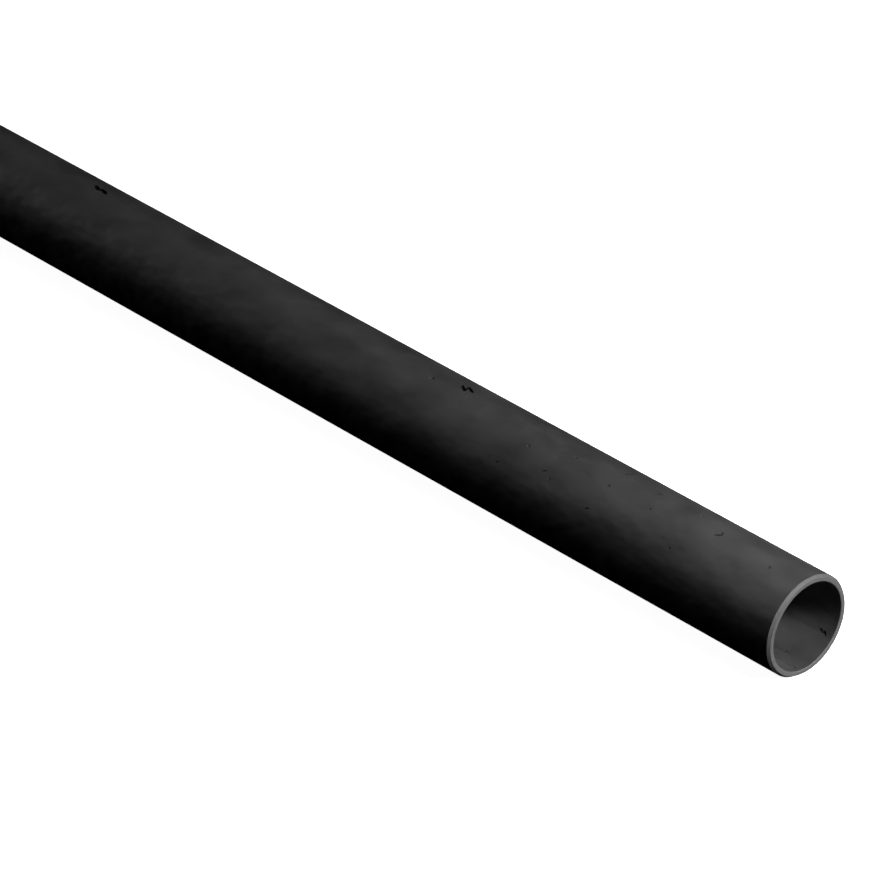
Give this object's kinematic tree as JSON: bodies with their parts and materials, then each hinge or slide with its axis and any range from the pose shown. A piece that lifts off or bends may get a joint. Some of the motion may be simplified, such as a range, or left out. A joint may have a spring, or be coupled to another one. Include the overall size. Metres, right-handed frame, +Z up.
{
  "type": "electrical conduit",
  "caption": "Straight length of rigid black plastic conduit tube with a round bore and plain square-cut ends, for protecting electrical cables.",
  "frame": {"origin": "on the plane the tube lies on, directly below the middle of its length", "axes": "+X along the tube, +Y across it, +Z up; the tube touches z = 0 along a line"},
  "size_m": [2, 0.025, 0.025],
  "materials": {
    "black_pvc": "satin"
  },
  "bodies": {
    "root": {"conduit_tube": "black_pvc"}
  },
  "joints": []
}
